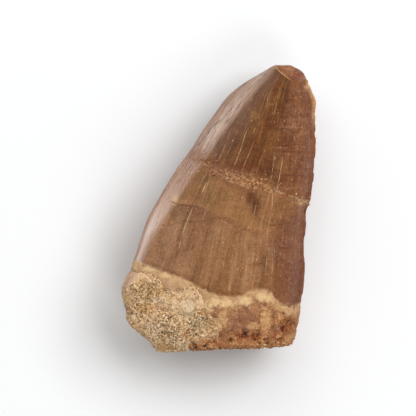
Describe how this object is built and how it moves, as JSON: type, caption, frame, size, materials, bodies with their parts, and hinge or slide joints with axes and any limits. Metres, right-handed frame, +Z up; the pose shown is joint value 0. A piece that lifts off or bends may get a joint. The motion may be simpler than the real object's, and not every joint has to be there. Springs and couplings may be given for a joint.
{
  "type": "fossil mosasaur tooth",
  "caption": "Broad blunt fossil reptile tooth with a brown enamel crown, a broken stub of root and a crust of sandy matrix, lying on its back.",
  "frame": {"origin": "middle of the tooth's outline, on the surface that it lies on", "axes": "+Y up the tooth from its broken root to its tip, +X across it towards its straighter edge, +Z up out of its face"},
  "size_m": [0.027, 0.04, 0.0153],
  "materials": {
    "enamel": "glossy brown fossil enamel with fine lengthwise grain over a duller tan and reddish root",
    "sandy_matrix": "dry beige sand grains cemented together, with dark gaps and a few orange stains"
  },
  "bodies": {
    "root": {"tooth": "enamel", "matrix": "sandy_matrix"}
  },
  "joints": []
}
